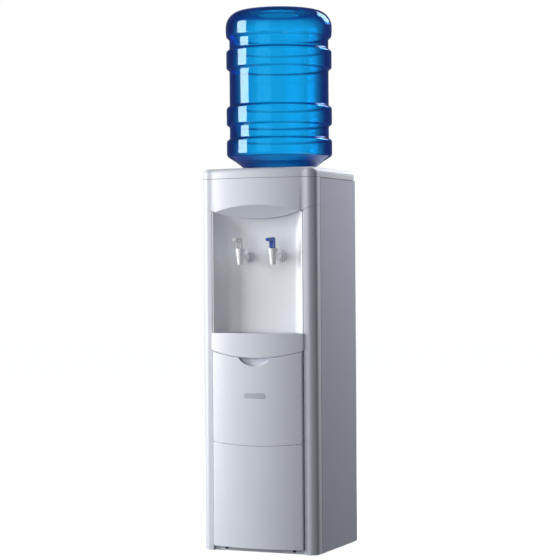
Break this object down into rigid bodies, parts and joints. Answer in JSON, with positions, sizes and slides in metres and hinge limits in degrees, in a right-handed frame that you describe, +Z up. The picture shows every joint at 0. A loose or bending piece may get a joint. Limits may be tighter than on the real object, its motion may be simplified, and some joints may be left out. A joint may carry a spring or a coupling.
{
  "type": "floor-standing water dispenser",
  "caption": "Slim floor-standing water dispenser with a bowed moulded front, a niche with lever taps, a pull-out drip tray and an inverted clear blue bottle on top.",
  "frame": {"origin": "on the floor, under the centre of the bounding box", "axes": "+Z up, the tap niche faces -Y, +X to the right of someone facing the niche"},
  "size_m": [0.31, 0.3482, 1.37],
  "materials": {
    "moulded_front": "satin moulded ABS",
    "niche_moulding": "satin moulded ABS",
    "grille_moulding": "moulded ABS",
    "painted_side": "powder coat",
    "galvanised_sheet": "galvanised",
    "bottle_polycarbonate": "clear blue blown polycarbonate",
    "cap_plastic": "moulded polyethylene",
    "probe_plastic": "moulded polypropylene",
    "stainless_tank": "drawn stainless steel",
    "copper": "drawn copper tube",
    "foam": "expanded polystyrene",
    "silicone": "extruded silicone",
    "tap_plastic": "gloss moulded",
    "lever_clear": "gloss moulded",
    "lever_blue": "gloss moulded",
    "rubber": "moulded rubber",
    "steel_bright": "zinc plated",
    "screw_dark": "black passivated",
    "black_paint": "black enamel",
    "control_plastic": "moulded",
    "thermostat_body": "moulded",
    "badge": "blank plate"
  },
  "bodies": {
    "cabinet": {"base_pan": "galvanised_sheet", "feet": "rubber", "front_frame": "moulded_front", "plinth_screws": "screw_dark", "fascia": "moulded_front", "niche_liner": "niche_moulding", "top_cover": "moulded_front", "bottle_seat": "moulded_front", "feed_probe": "probe_plastic", "reservoir": "stainless_tank", "reservoir_lid": "probe_plastic", "evaporator_coil": "copper", "insulation": "foam", "tank_shelf": "galvanised_sheet", "hose_cold": "silicone", "hose_ambient": "silicone", "tap_left": "tap_plastic", "tap_right": "tap_plastic", "tap_bonnet_left": "tap_plastic", "tap_bonnet_right": "tap_plastic", "tap_nuts": "tap_plastic", "tap_gaskets": "rubber", "lever_pins": "steel_bright", "spring_left": "steel_bright", "spring_right": "steel_bright", "upper_panel": "moulded_front", "badge_plate": "badge", "lower_panel": "moulded_front", "side_panel_left": "painted_side", "side_panel_right": "painted_side", "rear_panel": "galvanised_sheet", "rear_screws": "steel_bright", "condenser_tube": "black_paint", "condenser_wires": "black_paint", "condenser_brackets": "galvanised_sheet", "compressor": "black_paint", "compressor_mounts": "rubber", "compressor_bolts": "steel_bright", "relay_cover": "control_plastic", "filter_drier": "copper", "discharge_line": "copper", "liquid_line": "copper", "capillary": "copper", "suction_line": "copper", "thermostat": "thermostat_body", "cord_gland": "rubber"},
    "bottle": {"bottle": "bottle_polycarbonate", "bottle_cap": "cap_plastic"},
    "lever_left": {"lever_left": "lever_clear"},
    "lever_right": {"lever_right": "lever_blue"},
    "plunger_left": {"plunger_left": "silicone"},
    "plunger_right": {"plunger_right": "silicone"},
    "drip_tray": {"drip_tray": "moulded_front"},
    "drip_grille": {"drip_grille": "grille_moulding"},
    "thermostat_knob": {"thermostat_knob": "control_plastic"}
  },
  "joints": [
    {"name": "lever_left_press", "type": "hinge", "parent": "cabinet", "child": "lever_left", "pos_m": [-0.0445, -0.14051, 0.7588], "axis": [1, 0, 0], "range_deg": [0, 15], "stiffness_Nm_per_rad": 0.08, "springref_deg": -22.92},
    {"name": "lever_right_press", "type": "hinge", "parent": "cabinet", "child": "lever_right", "pos_m": [0.0445, -0.14051, 0.7588], "axis": [1, 0, 0], "range_deg": [0, 15], "stiffness_Nm_per_rad": 0.08, "springref_deg": -22.92},
    {"name": "plunger_left_lift", "type": "slide", "parent": "cabinet", "child": "plunger_left", "axis": [0, 0, 1], "range_m": [0, 0.0012], "deforming": ["spring_left"]},
    {"name": "plunger_right_lift", "type": "slide", "parent": "cabinet", "child": "plunger_right", "axis": [0, 0, 1], "range_m": [0, 0.0012], "deforming": ["spring_right"]},
    {"name": "tray_slide", "type": "slide", "parent": "cabinet", "child": "drip_tray", "axis": [0, -1, 0], "range_m": [0, 0.08]},
    {"name": "grille_lift", "type": "slide", "parent": "drip_tray", "child": "drip_grille", "axis": [0, 0, 1], "range_m": [0, 0.03]},
    {"name": "bottle_lift", "type": "slide", "parent": "cabinet", "child": "bottle", "axis": [0, 0, 1], "range_m": [0, 0.1]},
    {"name": "thermostat_turn", "type": "hinge", "parent": "cabinet", "child": "thermostat_knob", "pos_m": [0.1, 0.15589, 0.265], "axis": [0, 1, 0], "range_deg": [0, 270]}
  ],
  "couplings": [
    {"joint": "lever_left_press", "follows": "plunger_left_lift", "rad_per_m": 217.39},
    {"joint": "lever_right_press", "follows": "plunger_right_lift", "rad_per_m": 217.39}
  ]
}
